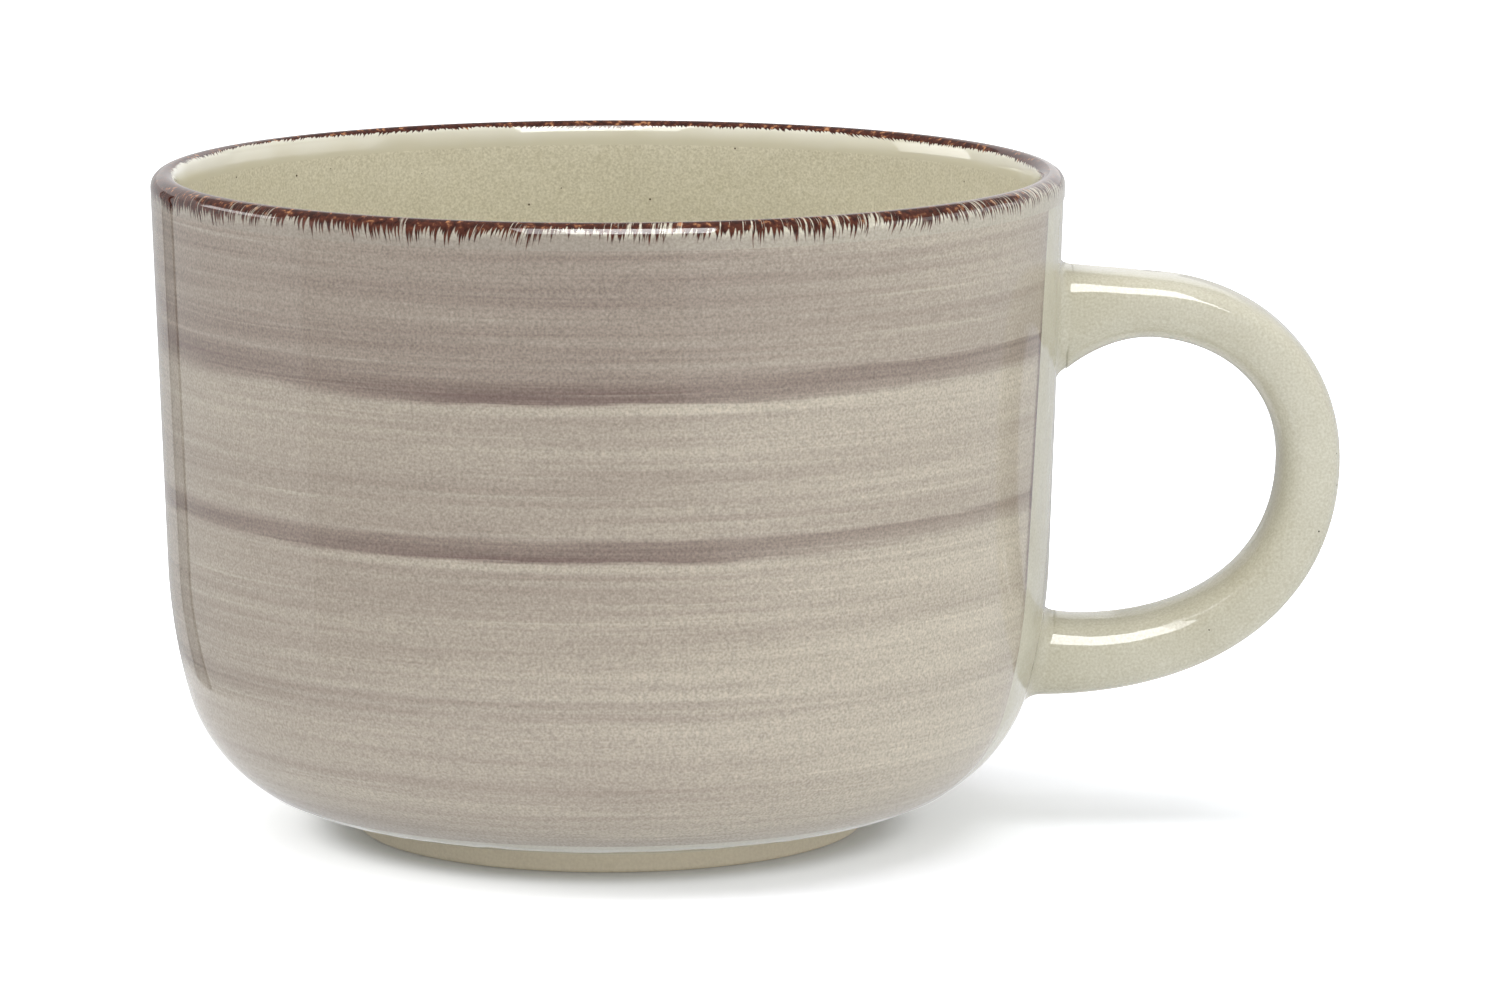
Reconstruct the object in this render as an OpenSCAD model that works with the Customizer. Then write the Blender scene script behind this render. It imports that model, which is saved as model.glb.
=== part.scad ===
// Cappuccino mug: a slip-cast stoneware cup on a low foot ring, with a strap handle
// luted on with slip, a brushed colour coat, a brushed rim and a glaze lining.
// Millimetres. The cup turns about Z, stands on z = 0, and its handle points to +X.

/* [Cup] */
// Outside diameter at the lip
rim_d = 110; // [95:0.5:125]
// Height from the table to the top of the lip
cup_h = 80; // [74:0.5:95]
// Thickness of the cast wall and floor, with its coats
wall_t = 3.4; // [2.6:0.1:4.6]
// Outward lean of the wall from upright, in degrees
wall_lean = 1.9; // [0.5:0.1:4]
// Radius of the belly, where the wall begins to turn in
belly_r = 69; // [50:1:100]
// Angle that the belly turns through above the corner
belly_turn = 13; // [8:0.5:20]
// Radius of the corner between the belly and the base
corner_r = 19; // [14:0.5:24]

/* [Foot] */
// Outside diameter of the foot ring
foot_d = 62; // [50:0.5:66]
// Height of the foot ring under the base
foot_h = 3.1; // [2:0.1:6]
// Width of the foot ring
foot_w = 4.6; // [3:0.1:8]
// Rounding of the foot ring's lower edges
foot_edge_r = 0.7; // [0.3:0.1:1.2]

/* [Coats] */
// Thickness of each fired coat of colour or glaze
coat_t = 0.35; // [0.2:0.05:0.6]
// Depth of the brushed rim, down from the top of the lip
band_h = 3; // [2.4:0.1:8]
// Angle up the corner from the base at which the outside colour stops
coat_stop = 30; // [9:0.5:40]
// Half angle of the bare panel behind the handle
bare_half = 19.5; // [13:0.5:30]

/* [Handle] */
// How far the handle stands out past the lip
handle_reach = 33.4; // [26:0.1:42]
// Width of the strap, across the handle
strap_w = 13.2; // [9:0.1:17]
// Thickness of the strap at the grip
grip_t = 7.6; // [5:0.1:10]
// How far the grip's outermost point lies below the upper root
grip_drop = 17.1; // [12:0.1:22]
// Squareness of the strap's section: 2 is an ellipse, more is squarer
strap_square = 2.8; // [2:0.1:4]
// Depth of the upper root's middle below the top of the lip
upper_root_drop = 18; // [17:0.1:22]
// Strap thickness at the upper root
upper_root_t = 13; // [8:0.1:15]
// Length over which the upper root thins to the grip
upper_taper = 12.9; // [8:0.1:25]
// Angle at which the strap rises from the upper root
upper_rise = 16.7; // [0:0.1:25]
// How far the strap holds that rise
upper_pull = 18.6; // [12:0.1:24]
// How far the strap runs upright above the grip
upper_bow = 13.1; // [8:0.1:18]
// Height of the lower root's middle above the base
lower_root_rise = 17.8; // [15:0.1:23]
// Strap thickness at the lower root
lower_root_t = 9.8; // [8:0.1:12]
// Length over which the lower root thins to the grip
lower_taper = 40; // [15:0.5:42]
// Angle at which the strap drops from the lower root
lower_drop = 3; // [-10:0.5:15]
// How far the strap holds that drop
lower_pull = 20; // [12:0.1:26]
// How far the strap runs upright below the grip
lower_bow = 15.5; // [8:0.1:20]
// Length over which each end of the strap is bent to lie square on the wall
mitre_run = 12; // [8:0.5:20]

/* [Slip joints] */
// Thickness of the luting slip between the cup and the strap
slip_t = 1.4; // [0.6:0.1:2.5]
// Spread of the slip's fillet on each side of the strap
slip_side = 2.4; // [0.6:0.1:4]
// Spread of the slip's fillet above and below the strap
slip_end = 1.2; // [0.4:0.1:2.5]

/* [Hidden] */
$fn = 180;

clay = "#e3dfcc";
bare_clay = "#c9bfa6";
taupe = "#b3a898";
rim_brown = "#5a3326";
cream = "#dedabb";

// How finely the arcs are stepped, and the strap's sides, stations and end rings
base_steps = 6;
corner_steps = 12;
belly_steps = 6;
lip_steps = 16;
edge_steps = 6;
strap_sides = 40;
strap_steps = 22;
fillet_steps = 6;
end_shares = [0.3, 0.6, 0.85];

function polar(a) = [cos(a), sin(a)];

function arc(c, r, from, to, steps) =
    [for (i = [0 : steps]) c + r * polar(from + (to - from) * i / steps)];

function but_last(list) = [for (i = [0 : len(list) - 2]) list[i]];

function reverse(list) = [for (i = [len(list) - 1 : -1 : 0]) list[i]];

// The lip is a half round on top of the straight wall
lip_r = wall_t / 2;
lip_c = [rim_d / 2 - lip_r, cup_h - lip_r];
wall_out = polar(-wall_lean);
wall_up = polar(90 - wall_lean);
band_down = band_h - lip_r;

function wall_line(z) =
    let (lip_edge = lip_c + lip_r * wall_out)
    lip_edge.x - (lip_edge.y - z) * tan(wall_lean);

// Outer surface from the base up: corner arc, belly arc, then the straight wall
turn = wall_lean + belly_turn;
belly_z = foot_h + corner_r + (belly_r - corner_r) * sin(turn);
belly_c = [wall_line(belly_z - belly_r * sin(wall_lean)) - belly_r * cos(wall_lean), belly_z];
corner_c = belly_c + (belly_r - corner_r) * polar(-turn);

// Half outlines of the outer surface moved in by inset, in pieces from the axis to the lip
function base_part(inset) = concat(
    [[0, foot_h + inset]],
    but_last(arc(corner_c, corner_r - inset, -90, coat_stop - 90, base_steps))
);

function side_part(inset) = concat(
    but_last(arc(corner_c, corner_r - inset, coat_stop - 90, -turn, corner_steps)),
    arc(belly_c, belly_r - inset, -turn, -wall_lean, belly_steps)
);

function band_edge(inset) = lip_c + (lip_r - inset) * wall_out - band_down * wall_up;

function lip_part(inset) = arc(lip_c, lip_r - inset, -wall_lean, 180 - wall_lean, lip_steps);

// Radius at height z of the outer surface moved in by inset
function wall_r(z, inset) =
    let (belly = belly_r - inset, corner = corner_r - inset)
    z > belly_c.y - belly * sin(wall_lean) ? wall_line(z) - inset / cos(wall_lean) :
    z > belly_c.y - belly * sin(turn) ? belly_c.x + sqrt(pow(belly, 2) - pow(z - belly_c.y, 2)) :
    corner_c.x + sqrt(pow(corner, 2) - pow(z - corner_c.y, 2));

// Cast body, bare of its coats
module cup_body() {
    inner = wall_t - coat_t;
    color(clay) rotate_extrude() polygon(concat(
        base_part(coat_t),
        side_part(coat_t),
        lip_part(coat_t),
        reverse(side_part(inner)),
        reverse(base_part(inner))
    ));
}

// Rounded below, and fitted above to the underside of the cup
module foot_ring() {
    inner = foot_d / 2 - foot_w;
    outer = foot_d / 2;
    color(bare_clay) rotate_extrude() difference() {
        polygon(concat(
            arc([inner + foot_edge_r, foot_edge_r], foot_edge_r, 180, 270, edge_steps),
            arc([outer - foot_edge_r, foot_edge_r], foot_edge_r, 270, 360, edge_steps),
            [[outer, corner_c.y], [inner, corner_c.y]]
        ));
        polygon(concat(base_part(coat_t), side_part(coat_t), [[0, cup_h]]));
    }
}

// Colour brushed round the outside, up to the bare panel behind the handle
module brushed_coat() {
    color(taupe) rotate_extrude(angle = 360 - 2 * bare_half, start = bare_half) polygon(concat(
        side_part(0),
        [band_edge(0), band_edge(coat_t)],
        reverse(side_part(coat_t))
    ));
}

// Colour brushed over the lip and a little way down both faces
module rim_band() {
    color(rim_brown) rotate_extrude() polygon(concat(
        [band_edge(0)],
        lip_part(0),
        [band_edge(wall_t), band_edge(wall_t - coat_t)],
        reverse(lip_part(coat_t)),
        [band_edge(coat_t)]
    ));
}

// Glaze over the inside wall and floor
module liner_glaze() {
    face = wall_t;
    back = wall_t - coat_t;
    color(cream) rotate_extrude() polygon(concat(
        base_part(back),
        side_part(back),
        [band_edge(back), band_edge(face)],
        reverse(side_part(face)),
        reverse(base_part(face))
    ));
}

// The strap's middle line, from the upper root round the grip to the lower root
upper_root_z = cup_h - upper_root_drop;
lower_root_z = foot_h + lower_root_rise;
upper_root = [wall_r(upper_root_z, coat_t), upper_root_z];
lower_root = [wall_r(lower_root_z, coat_t), lower_root_z];
grip = [rim_d / 2 + handle_reach - grip_t / 2, upper_root_z - grip_drop];
upper_curve = [
    upper_root,
    upper_root + upper_pull * polar(upper_rise),
    grip + [0, upper_bow],
    grip
];
lower_curve = [
    grip,
    grip - [0, lower_bow],
    lower_root + lower_pull * polar(-lower_drop),
    lower_root
];

function curve_at(p, t) =
    pow(1 - t, 3) * p[0] + 3 * pow(1 - t, 2) * t * p[1] + 3 * (1 - t) * t * t * p[2] + pow(t, 3) * p[3];

function heading_at(p, t) =
    let (d = pow(1 - t, 2) * (p[1] - p[0]) + 2 * (1 - t) * t * (p[2] - p[1]) + t * t * (p[3] - p[2]))
    atan2(d.y, d.x);

// Stations along the line: where each is, where it heads, and how far it has run
steps = [for (i = [0 : strap_steps]) i / strap_steps];
line = concat(
    [for (t = but_last(steps)) curve_at(upper_curve, t)],
    [for (t = steps) curve_at(lower_curve, t)]
);
heading = concat(
    [for (t = but_last(steps)) heading_at(upper_curve, t)],
    [for (t = steps) heading_at(lower_curve, t)]
);
last = len(line) - 1;
run = [
    for (i = 0, s = 0; i <= last; i = i + 1, s = i > last ? s : s + norm(line[i] - line[i - 1])) s
];

// How much of a root's shape is left at a distance from it
function fade(distance, reach) = pow(max(0, 1 - distance / reach), 2);

function strap_t(i) =
    grip_t
    + (upper_root_t - grip_t) * fade(run[i], upper_taper)
    + (lower_root_t - grip_t) * fade(run[last] - run[i], lower_taper);

// Superellipse section: across the strap, and through its thickness
function section(w, t) = [
    for (k = [0 : strap_sides - 1])
    let (a = 360 * k / strap_sides, e = 2 / strap_square)
    [w / 2 * sign(cos(a)) * pow(abs(cos(a)), e), t / 2 * sign(sin(a)) * pow(abs(sin(a)), e)]
];

// A root's outline laid on the cup's wall, lifted off it, and drawn in to a share of its size
function seat(root, tilt, w, t, lift, share = 1) = [
    for (p = share * section(w, t))
    let (z = root.y + p.y * cos(tilt))
    [sqrt(pow(wall_r(z, coat_t), 2) - pow(p.x, 2)) + lift, p.x, z]
];

function seat_middle(root, lift) = [root.x + lift, 0, root.y];

upper_end = seat(upper_root, heading[0], strap_w, upper_root_t, slip_t);
lower_end = seat(lower_root, heading[last], strap_w, lower_root_t, slip_t);
upper_square = section(strap_w, upper_root_t);
lower_square = section(strap_w, lower_root_t);

// A station of the strap, square to its line but bent on to the two seats near its ends
function station(i) =
    let (
        p = section(strap_w, strap_t(i)),
        through = polar(heading[i] + 90),
        upper_bend = fade(run[i], mitre_run),
        lower_bend = fade(run[last] - run[i], mitre_run)
    )
    [
        for (k = [0 : strap_sides - 1])
        let (
            to_upper = upper_end[k].x - upper_root.x + upper_square[k].y * sin(heading[0]),
            to_lower = lower_end[k].x - lower_root.x + lower_square[k].y * sin(heading[last])
        )
        [
            line[i].x + p[k].y * through.x + upper_bend * to_upper + lower_bend * to_lower,
            p[k].x,
            line[i].y + p[k].y * through.y
        ]
    ];

// Closed skin over rings of equal count, drawn to a point at each end
module skin(first, rings, final) {
    n = len(rings[0]);
    m = len(rings);
    function at(i, k) = 1 + i * n + k % n;
    points = concat([first], [for (r = rings) each r], [final]);
    faces = concat(
        [for (k = [0 : n - 1]) [0, at(0, k + 1), at(0, k)]],
        [for (i = [0 : m - 2], k = [0 : n - 1]) each [
            [at(i, k), at(i, k + 1), at(i + 1, k + 1)],
            [at(i, k), at(i + 1, k + 1), at(i + 1, k)]
        ]],
        [for (k = [0 : n - 1]) [1 + m * n, at(m - 1, k), at(m - 1, k + 1)]]
    );
    polyhedron(points, faces, convexity = 4);
}

module handle() {
    color(clay) skin(
        seat_middle(upper_root, slip_t),
        concat(
            [for (share = end_shares)
                seat(upper_root, heading[0], strap_w, upper_root_t, slip_t, share)],
            [for (i = [0 : last]) station(i)],
            [for (share = reverse(end_shares))
                seat(lower_root, heading[last], strap_w, lower_root_t, slip_t, share)]
        ),
        seat_middle(lower_root, slip_t)
    );
}

// Slip squeezed out between the cup and the strap's end, wiped to a hollow fillet
module slip_joint(root, tilt, root_t) {
    spread_w = strap_w + 2 * slip_side;
    spread_t = root_t + 2 * slip_end;
    color(clay) skin(
        seat_middle(root, 0),
        concat(
            [for (share = end_shares) seat(root, tilt, spread_w, spread_t, 0, share)],
            [for (i = [0 : fillet_steps])
                let (a = 90 * i / fillet_steps, left = 1 - sin(a))
                seat(root, tilt, strap_w + 2 * slip_side * left, root_t + 2 * slip_end * left,
                     slip_t * (1 - cos(a)))],
            [for (share = reverse(end_shares)) seat(root, tilt, strap_w, root_t, slip_t, share)]
        ),
        seat_middle(root, slip_t)
    );
}

module upper_slip_joint() {
    slip_joint(upper_root, heading[0], upper_root_t);
}

module lower_slip_joint() {
    slip_joint(lower_root, heading[last] - 180, lower_root_t);
}

cup_body();
foot_ring();
handle();
upper_slip_joint();
lower_slip_joint();
brushed_coat();
rim_band();
liner_glaze();
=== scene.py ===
import math
from functools import partial

import bpy
import numpy as np
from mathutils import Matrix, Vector


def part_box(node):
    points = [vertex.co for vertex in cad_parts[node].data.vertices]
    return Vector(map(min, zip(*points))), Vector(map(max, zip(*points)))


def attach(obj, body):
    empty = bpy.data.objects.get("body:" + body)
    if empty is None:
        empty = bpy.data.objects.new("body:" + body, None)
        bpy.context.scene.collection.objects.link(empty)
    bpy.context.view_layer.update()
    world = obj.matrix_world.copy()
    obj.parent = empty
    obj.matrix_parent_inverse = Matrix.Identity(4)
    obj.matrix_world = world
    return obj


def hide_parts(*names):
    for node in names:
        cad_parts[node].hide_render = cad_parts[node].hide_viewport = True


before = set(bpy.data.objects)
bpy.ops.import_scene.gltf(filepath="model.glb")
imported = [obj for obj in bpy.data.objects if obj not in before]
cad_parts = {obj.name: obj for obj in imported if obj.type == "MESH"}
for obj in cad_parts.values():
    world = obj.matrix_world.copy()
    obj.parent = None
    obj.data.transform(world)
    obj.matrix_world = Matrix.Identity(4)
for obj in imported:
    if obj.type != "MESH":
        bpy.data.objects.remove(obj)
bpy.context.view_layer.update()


# Cup body: stoneware cast in a plaster mould, then dipped in clear glaze.
# The colour coats cover most of it, so it shows in the panel behind the handle
# and in a narrow cream ring between the coat and the foot.
MM = 0.001  # sizes are in millimetres and angles in degrees, up to the studio
wall_t = 3.4
coat_t = 0.35  # of each coat in the CAD part
wall_lean = 1.9
belly_turn = 13
belly_r = 69
corner_r = 19
film_t = 0.1  # the colour and glaze films are this thin to the eye
body_inset = 0.12  # the clay lies this far under the films
base_steps = 12  # points along each stretch of the outline
corner_steps = 40
belly_steps = 20
wall_steps = 24
lip_steps = 20
crest_steps = 12
flare_steps = 8

rim_low, rim_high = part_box("rim_band")
rim_r = -rim_low.x / MM
cup_h = rim_high.z / MM
base_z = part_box("cup_body")[0].z / MM - coat_t


def polar(angle):
    """Unit vector at an angle in degrees."""
    return np.array([math.cos(math.radians(angle)), math.sin(math.radians(angle))])


def arc(centre, radius, start, end, steps):
    """Points along a circle, between two angles in degrees."""
    return np.array([centre + radius * polar(a) for a in np.linspace(start, end, steps + 1)])


def straight(start, end, steps):
    """Points along a straight line."""
    return np.linspace(start, end, steps + 1)


lip_r = wall_t / 2
flare_r = 6  # the lip's inside eases into the wall at this radius, over this many degrees
flare_turn = 18
lip_c = np.array([rim_r - lip_r, cup_h - lip_r])
turn = wall_lean + belly_turn


def wall_line(z):
    """Radius of the straight wall's outside at a height."""
    edge = lip_c + lip_r * polar(-wall_lean)
    return edge[0] - (edge[1] - z) * math.tan(math.radians(wall_lean))


belly_z = base_z + corner_r + (belly_r - corner_r) * math.sin(math.radians(turn))
belly_top = belly_z - belly_r * math.sin(math.radians(wall_lean))
belly_c = np.array([wall_line(belly_top) - belly_r * math.cos(math.radians(wall_lean)), belly_z])
corner_c = belly_c + (belly_r - corner_r) * polar(-turn)


def base_line(inset):
    """Flat base, from the axis to the corner."""
    return straight([0, base_z + inset], [corner_c[0], base_z + inset], base_steps)


def side_line(inset, start=-90, below_lip=0):
    """Outside moved in by inset: corner from an angle, belly, and wall up to below the lip."""
    corner = arc(corner_c, corner_r - inset, start, -turn, corner_steps)
    belly = arc(belly_c, belly_r - inset, -turn, -wall_lean, belly_steps)
    edge = lip_c + (lip_r - inset) * polar(-wall_lean) - below_lip * polar(90 - wall_lean)
    return np.vstack([corner[:-1], belly, straight(belly[-1], edge, wall_steps)[1:]])


flare_bend = math.radians(flare_turn)
crest_r = (lip_r - flare_r * (1 - math.cos(flare_bend))) / math.cos(flare_bend)
crest_c = lip_c + (lip_r - crest_r) * polar(90 - wall_lean)
flare_c = crest_c + (crest_r - flare_r) * polar(180 - wall_lean - flare_turn)
flare_drop = (lip_c - flare_c) @ polar(90 - wall_lean)


def lip_line(inset):
    """Round of the lip, from the outside over the crest and down its gentle flare inside."""
    flare_top = 180 - wall_lean - flare_turn
    outside = arc(lip_c, lip_r - inset, -wall_lean, 90 - wall_lean, lip_steps)
    crest = arc(crest_c, crest_r - inset, 90 - wall_lean, flare_top, crest_steps)
    flare = arc(flare_c, flare_r - inset, flare_top, 180 - wall_lean, flare_steps)
    return np.vstack([outside[:-1], crest[:-1], flare])


def colour(code):
    """Linear RGBA of an sRGB hex colour."""
    shares = [int(code[i : i + 2], 16) / 255 for i in (1, 3, 5)]
    return [s / 12.92 if s <= 0.04045 else ((s + 0.055) / 1.055) ** 2.4 for s in shares] + [1]


def add_node(tree, kind, inputs=None, **settings):
    """Adds a node with its settings to a tree, and links or sets its inputs."""
    node = tree.nodes.new(kind)
    for name, value in settings.items():
        setattr(node, name, value)
    for key, value in (inputs or {}).items():
        source = value.outputs[0] if isinstance(value, bpy.types.Node) else value
        if isinstance(source, bpy.types.NodeSocket):
            tree.links.new(source, node.inputs[key])
        else:
            node.inputs[key].default_value = source
    return node


weld = 0.001  # points closer than this are one


def lathe_tree():
    """Geometry nodes that turn a profile about Z, as a mould is turned on a wheel.
    The profile's points carry where the turn starts, how far they run along it,
    and where they end on an edge that thins out."""
    tree = bpy.data.node_groups.new("Lathe", "GeometryNodeTree")
    add = partial(add_node, tree)
    sockets = [
        ("Profile", "Geometry"),
        ("Segments", "Int"),
        ("Feather", "Float"),
        ("Crowding", "Float"),
        ("Finish", "Material"),
    ]
    for name, kind in sockets:
        tree.interface.new_socket(name, in_out="INPUT", socket_type="NodeSocket" + kind)
    tree.interface.new_socket("Piece", in_out="OUTPUT", socket_type="NodeSocketGeometry")
    given = add("NodeGroupInput").outputs
    count = add("GeometryNodeAttributeDomainSize", {"Geometry": given["Profile"]})
    columns = add("ShaderNodeMath", {0: given["Segments"], 1: 1.0}, operation="ADD")
    grid = add("GeometryNodeMeshGrid", {"Vertices X": columns, "Vertices Y": count})
    index = add("GeometryNodeInputIndex")
    row = add("ShaderNodeMath", {0: index, 1: count}, operation="MODULO")
    column = add("ShaderNodeMath", {0: index, 1: count}, operation="DIVIDE")
    column = add("ShaderNodeMath", {0: column}, operation="FLOOR")
    final = add(
        "ShaderNodeMath", {0: given["Segments"], 1: given["Crowding"]}, operation="SUBTRACT"
    )
    share = add(
        "ShaderNodeMapRange", {"Value": column, "From Min": given["Crowding"], "From Max": final}
    )
    sampled = {}
    for name in ("position", "thin", "turning"):
        field = add("GeometryNodeInputNamedAttribute", {"Name": name}, data_type="FLOAT_VECTOR")
        sampled[name] = add(
            "GeometryNodeSampleIndex",
            {"Geometry": given["Profile"], "Value": field, "Index": row},
            data_type="FLOAT_VECTOR",
        )
    turning = add("ShaderNodeSeparateXYZ", {"Vector": sampled["turning"]}).outputs
    sweep = add(
        "ShaderNodeMath", {0: turning["X"], 1: -2.0, 2: 2 * math.pi}, operation="MULTIPLY_ADD"
    )
    angle = add("ShaderNodeMath", {0: sweep, 1: share, 2: turning["X"]}, operation="MULTIPLY_ADD")
    other = add("ShaderNodeMath", {0: 1.0, 1: share}, operation="SUBTRACT")
    nearest = add("ShaderNodeMath", {0: share, 1: other}, operation="MINIMUM")
    radius = add("ShaderNodeSeparateXYZ", {"Vector": sampled["position"]}).outputs["X"]
    edge = add("ShaderNodeMath", {0: nearest, 1: sweep}, operation="MULTIPLY")
    edge = add("ShaderNodeMath", {0: edge, 1: radius}, operation="MULTIPLY")
    body = add(
        "ShaderNodeMapRange",
        {"Value": edge, "From Max": given["Feather"]},
        interpolation_type="SMOOTHSTEP",
    )
    spot = add(
        "ShaderNodeMix", {0: body, 4: sampled["thin"], 5: sampled["position"]}, data_type="VECTOR"
    )
    turned = add(
        "ShaderNodeVectorRotate",
        {"Vector": spot.outputs[1], "Angle": angle},
        rotation_type="Z_AXIS",
    )
    placed = add("GeometryNodeSetPosition", {"Geometry": grid, "Position": turned})
    pattern = add("ShaderNodeCombineXYZ", {"X": angle, "Y": turning["Y"]})
    pattern = add(
        "GeometryNodeFieldOnDomain", {"Value": pattern}, data_type="FLOAT_VECTOR", domain="POINT"
    )
    mapped = add(
        "GeometryNodeStoreNamedAttribute",
        {"Geometry": placed, "Name": "around_up", "Value": pattern},
        data_type="FLOAT2",
        domain="CORNER",
    )
    closed = add("GeometryNodeMergeByDistance", {"Geometry": mapped, "Distance": weld * MM})
    smooth = add("GeometryNodeSetShadeSmooth", {"Geometry": closed})
    real = add("GeometryNodeRealizeInstances", {"Geometry": smooth})
    finished = add("GeometryNodeSetMaterial", {"Geometry": real, "Material": given["Finish"]})
    add("NodeGroupOutput", {"Piece": finished})
    return tree


LATHE = lathe_tree()


def turned_piece(
    name, profile, finish, thin=None, start=0.0, feather=0.0, crowding=0.0, segments=256
):
    """A piece turned from a closed half section. Its map runs round it and along the section.
    Crowding is how much of their width the first and last columns lose, so that an edge that
    thins out stays crisp."""
    lengths = np.linalg.norm(np.diff(profile, axis=0), axis=1)
    along = np.concatenate([[0], np.cumsum(lengths)])
    flat = np.zeros(len(profile))
    points = np.column_stack([profile[:, 0], flat, profile[:, 1]]) * MM
    ends = points if thin is None else np.column_stack([thin[:, 0], flat, thin[:, 1]]) * MM
    turning = np.column_stack([np.broadcast_to(start, len(profile)), along, flat])
    mesh = bpy.data.meshes.new(name)
    mesh.from_pydata(points.tolist(), [(i, i + 1) for i in range(len(points) - 1)], [])
    for attribute, vectors in (("thin", ends), ("turning", turning)):
        layer = mesh.attributes.new(attribute, "FLOAT_VECTOR", "POINT")
        layer.data.foreach_set("vector", vectors.astype(np.float32).ravel())
    piece = bpy.data.objects.new(name, mesh)
    bpy.context.scene.collection.objects.link(piece)
    modifier = piece.modifiers.new("Lathe", "NODES")
    modifier.node_group = LATHE
    values = {
        "Segments": segments,
        "Feather": feather * MM,
        "Crowding": crowding,
        "Finish": finish,
    }
    for socket in LATHE.interface.items_tree:
        if socket.in_out == "INPUT" and socket.name in values:
            modifier[socket.identifier] = values[socket.name]
    evaluated = piece.evaluated_get(bpy.context.evaluated_depsgraph_get())
    made = bpy.data.meshes.new_from_object(evaluated)
    piece.modifiers.remove(modifier)
    piece.data = made
    return piece


guard = 0.01  # a second point this close to an edge keeps the face beside it flat


def film(skin, back):
    """Closed half section of a thin film between two faces."""
    first = skin[0] + guard * (skin[1] - skin[0]) / np.linalg.norm(skin[1] - skin[0])
    final = skin[-1] + guard * (skin[-2] - skin[-1]) / np.linalg.norm(skin[-2] - skin[-1])
    return np.vstack([skin[:1], [first], skin[1:-1], [final], skin[-1:], back[::-1], skin[:1]])


def new_material(name):
    """A material with an empty node tree."""
    material = bpy.data.materials.new(name)
    material.use_nodes = True
    material.node_tree.nodes.clear()
    return material


# Cream stoneware seen through clear glaze: warm and pale, with a fine grain of clay,
# a few dark iron specks, and a skin that ripples a little so that highlights waver.
GLAZE_IOR = 1.5
GLAZE_ROUGHNESS = 0.035
grain_mm = 0.3
cloud_mm = 14
speck_spacing_mm = 2.2
speck_mm = 0.17
ripple_mm = 7
tone_range = (0.3, 0.7)  # noise between these levels runs from the deep tone to the pale one


def glaze_over(material, paint, **skin):
    """Closes a material as a painted ground under smooth clear glaze, or another skin."""
    add = partial(add_node, material.node_tree)
    look = {"Base Color": paint, "Roughness": GLAZE_ROUGHNESS, "IOR": GLAZE_IOR, **skin}
    shader = add("ShaderNodeBsdfPrincipled", look)
    add("ShaderNodeOutputMaterial", {"Surface": shader})


def glazed(name, code_pale, code_deep, code_speck, speck_share=0.26, ripple=0.35, grain_share=0.6):
    """Clear-glazed clay between two tones, with grain, clouds, specks and a rippled skin."""
    material = new_material(name)
    add = partial(add_node, material.node_tree)
    spot = add("ShaderNodeTexCoord").outputs["Object"]
    cloud = add(
        "ShaderNodeTexNoise", {"Vector": spot, "Scale": 1 / (cloud_mm * MM), "Detail": 3.0}
    )
    grain = add(
        "ShaderNodeTexNoise", {"Vector": spot, "Scale": 1 / (grain_mm * MM), "Detail": 2.0}
    )
    tone = add("ShaderNodeMixRGB", {"Fac": grain_share, "Color1": cloud, "Color2": grain})
    tone = add(
        "ShaderNodeMapRange", {"Value": tone, "From Min": tone_range[0], "From Max": tone_range[1]}
    )
    clay = add(
        "ShaderNodeMixRGB", {"Fac": tone, "Color1": colour(code_deep), "Color2": colour(code_pale)}
    )
    cells = add("ShaderNodeTexVoronoi", {"Vector": spot, "Scale": 1 / (speck_spacing_mm * MM)})
    chosen = add("ShaderNodeSeparateXYZ", {"Vector": cells.outputs["Color"]}).outputs["X"]
    size = add(
        "ShaderNodeMapRange",
        {"Value": chosen, "From Min": 1 - speck_share, "To Max": speck_mm / speck_spacing_mm},
    )
    speck = add("ShaderNodeMath", {0: cells.outputs["Distance"], 1: size}, operation="LESS_THAN")
    painted = add("ShaderNodeMixRGB", {"Fac": speck, "Color1": clay, "Color2": colour(code_speck)})
    wave = add(
        "ShaderNodeTexNoise", {"Vector": spot, "Scale": 1 / (ripple_mm * MM), "Detail": 1.0}
    )
    skin = add("ShaderNodeBump", {"Height": wave, "Strength": 1.0, "Distance": ripple * MM})
    glaze_over(material, painted, Normal=skin)
    return material


cream_glaze = glazed("clear_glaze_on_cream_stoneware", "#D7D4C3", "#B9B39C", "#4A4033")
inner_inset = wall_t - body_inset
cup_profile = np.vstack(
    [
        base_line(body_inset)[:-1],
        side_line(body_inset)[:-1],
        lip_line(body_inset)[:-1],
        side_line(inner_inset, below_lip=flare_drop)[:0:-1],
        base_line(inner_inset)[::-1],
    ]
)
cup_body = turned_piece("cup_body_clay", cup_profile, cream_glaze)
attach(cup_body, "root")
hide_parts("cup_body")


# Foot ring: a low ring turned under the base, which the cup stands on.
# Its glaze is wiped off before firing so that it doesn't stick to the kiln shelf,
# which leaves bare, slightly sandy clay.
foot_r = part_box("foot_ring")[1].x / MM
foot_w = 4.6
foot_edge_r = 0.7
foot_fillet_r = 1.0
foot_bite = 0.2  # it runs this far into the base
foot_side_steps = 4
foot_round_steps = 10
glaze_line = 2.3  # the glaze is wiped off below this height
glaze_line_varies = 0.25  # and wanders by this much
glaze_line_wave_mm = 12
glaze_edge = 0.25
grit_mm = 0.35
grit_h = 0.03
bare_roughness = 0.75
bare_deep = "#D0C4AC"
bare_pale = "#EBE1CA"
glazed_foot = "#DAD6C3"


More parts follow.
